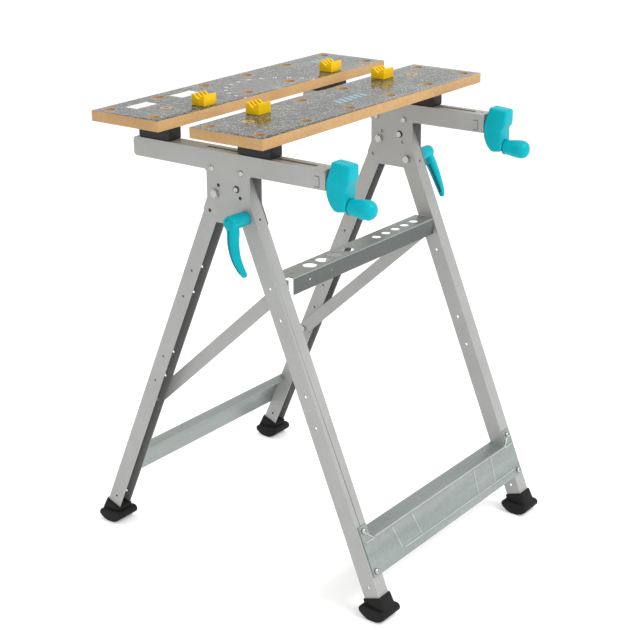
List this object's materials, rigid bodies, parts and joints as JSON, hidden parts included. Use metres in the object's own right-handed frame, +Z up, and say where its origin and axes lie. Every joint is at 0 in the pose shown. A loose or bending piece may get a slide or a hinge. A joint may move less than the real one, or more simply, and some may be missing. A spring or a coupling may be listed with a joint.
{
  "type": "work platform bench",
  "caption": "Folding clamping workbench with drilled wooden jaws, a crank-driven front jaw, steel A-frame legs, tool tray and rocker feet.",
  "frame": {"origin": "floor level, under the middle of the bench's bounding box", "axes": "+X along the jaws to the user's right, -Y towards the user and the cranks, +Z up"},
  "size_m": [0.645, 0.657, 0.8336],
  "materials": {
    "printed_board": "glossy printed grey top with bare tan board edges",
    "black_plastic": "satin moulded",
    "black_rubber": "matte moulded",
    "painted_steel": "semi-gloss silver-grey paint",
    "galvanised_steel": "cold-rolled galvanised sheet",
    "teal_plastic": "semi-gloss moulded",
    "yellow_plastic": "semi-gloss moulded",
    "zinc_fastener": "bright zinc plated"
  },
  "bodies": {
    "frame": {"beam_left": "painted_steel", "beam_right": "painted_steel", "rear_jaw": "printed_board", "rear_spacer_left": "black_plastic", "rear_spacer_right": "black_plastic", "rear_jaw_screw_left": "zinc_fastener", "rear_jaw_screw_right": "zinc_fastener", "back_leg_left": "painted_steel", "back_leg_right": "painted_steel", "back_foot_left": "black_rubber", "back_foot_right": "black_rubber", "rear_brace_plate": "galvanised_steel", "rear_brace_screw_left": "zinc_fastener", "rear_brace_screw_right": "zinc_fastener", "leg_bolt_left": "zinc_fastener", "leg_bolt_right": "zinc_fastener", "stop_pin_left": "zinc_fastener", "stop_pin_right": "zinc_fastener", "rear_rivet_left": "zinc_fastener", "rear_rivet_right": "zinc_fastener", "front_rivet_left": "zinc_fastener", "front_rivet_right": "zinc_fastener", "stay_pivot_bolt_left": "zinc_fastener", "stay_pivot_bolt_right": "zinc_fastener", "clamp_bolt_left": "zinc_fastener", "clamp_bolt_right": "zinc_fastener"},
    "front_legs": {"front_leg_left": "painted_steel", "front_leg_right": "painted_steel", "front_foot_left": "black_rubber", "front_foot_right": "black_rubber", "front_step_plate": "galvanised_steel", "step_upper_screw_left": "zinc_fastener", "step_upper_screw_right": "zinc_fastener", "step_lower_screw_left": "zinc_fastener", "step_lower_screw_right": "zinc_fastener", "hook_pin_left": "zinc_fastener", "hook_pin_right": "zinc_fastener"},
    "stay": {"stay_arm_left": "painted_steel", "stay_arm_right": "painted_steel", "tool_tray": "galvanised_steel"},
    "front_jaw": {"front_jaw": "printed_board", "front_spacer_left": "black_plastic", "front_spacer_right": "black_plastic", "front_jaw_screw_left": "zinc_fastener", "front_jaw_screw_right": "zinc_fastener", "jaw_nut_left": "zinc_fastener", "jaw_nut_right": "zinc_fastener"},
    "crank_left": {"crank_left": "teal_plastic", "spindle_left": "zinc_fastener"},
    "knob_left": {"crank_knob_left": "teal_plastic"},
    "lever_left": {"clamp_lever_left": "teal_plastic"},
    "rear_dog_left": {"rear_dog_left": "yellow_plastic"},
    "front_dog_left": {"front_dog_left": "yellow_plastic"},
    "crank_right": {"crank_right": "teal_plastic", "spindle_right": "zinc_fastener"},
    "knob_right": {"crank_knob_right": "teal_plastic"},
    "lever_right": {"clamp_lever_right": "teal_plastic"},
    "rear_dog_right": {"rear_dog_right": "yellow_plastic"},
    "front_dog_right": {"front_dog_right": "yellow_plastic"}
  },
  "joints": [
    {"name": "front_leg_fold", "type": "hinge", "parent": "frame", "child": "front_legs", "pos_m": [0, -0.0428, 0.6575], "axis": [1, 0, 0], "range_deg": [0, 45]},
    {"name": "stay_fold", "type": "hinge", "parent": "frame", "child": "stay", "pos_m": [0, 0.202, 0.267], "axis": [-1, 0, 0], "range_deg": [0, 24.1]},
    {"name": "jaw_slide", "type": "slide", "parent": "frame", "child": "front_jaw", "axis": [0, 1, 0], "range_m": [-0.054, 0.066]},
    {"name": "crank_left_turn", "type": "hinge", "parent": "frame", "child": "crank_left", "pos_m": [-0.238, -0.22, 0.745], "axis": [0, 1, 0], "range_deg": [-3880, 4740]},
    {"name": "crank_right_turn", "type": "hinge", "parent": "frame", "child": "crank_right", "pos_m": [0.238, -0.22, 0.745], "axis": [0, 1, 0], "range_deg": [-3880, 4740]},
    {"name": "knob_left_spin", "type": "hinge", "parent": "crank_left", "child": "knob_left", "pos_m": [-0.238, -0.267, 0.7055], "axis": [0, 1, 0], "continuous": true},
    {"name": "lever_left_turn", "type": "hinge", "parent": "frame", "child": "lever_left", "pos_m": [-0.27, -0.0428, 0.6575], "axis": [1, 0, 0], "range_deg": [-120, 60]},
    {"name": "rear_dog_left_swivel", "type": "hinge", "parent": "frame", "child": "rear_dog_left", "pos_m": [-0.18, 0.106, 0.814], "axis": [0, 0, 1], "continuous": true},
    {"name": "front_dog_left_swivel", "type": "hinge", "parent": "front_jaw", "child": "front_dog_left", "pos_m": [-0.18, -0.011, 0.814], "axis": [0, 0, 1], "continuous": true},
    {"name": "knob_right_spin", "type": "hinge", "parent": "crank_right", "child": "knob_right", "pos_m": [0.238, -0.267, 0.7055], "axis": [0, 1, 0], "continuous": true},
    {"name": "lever_right_turn", "type": "hinge", "parent": "frame", "child": "lever_right", "pos_m": [0.27, -0.0428, 0.6575], "axis": [1, 0, 0], "range_deg": [-120, 60]},
    {"name": "rear_dog_right_swivel", "type": "hinge", "parent": "frame", "child": "rear_dog_right", "pos_m": [0.18, 0.106, 0.814], "axis": [0, 0, 1], "continuous": true},
    {"name": "front_dog_right_swivel", "type": "hinge", "parent": "front_jaw", "child": "front_dog_right", "pos_m": [0.18, -0.011, 0.814], "axis": [0, 0, 1], "continuous": true}
  ],
  "couplings": [
    {"joint": "stay_fold", "follows": "front_leg_fold", "ratio": 0.53333},
    {"joint": "jaw_slide", "follows": "crank_left_turn", "m_per_rad": 0.00079577},
    {"joint": "crank_right_turn", "follows": "crank_left_turn", "ratio": 1}
  ]
}
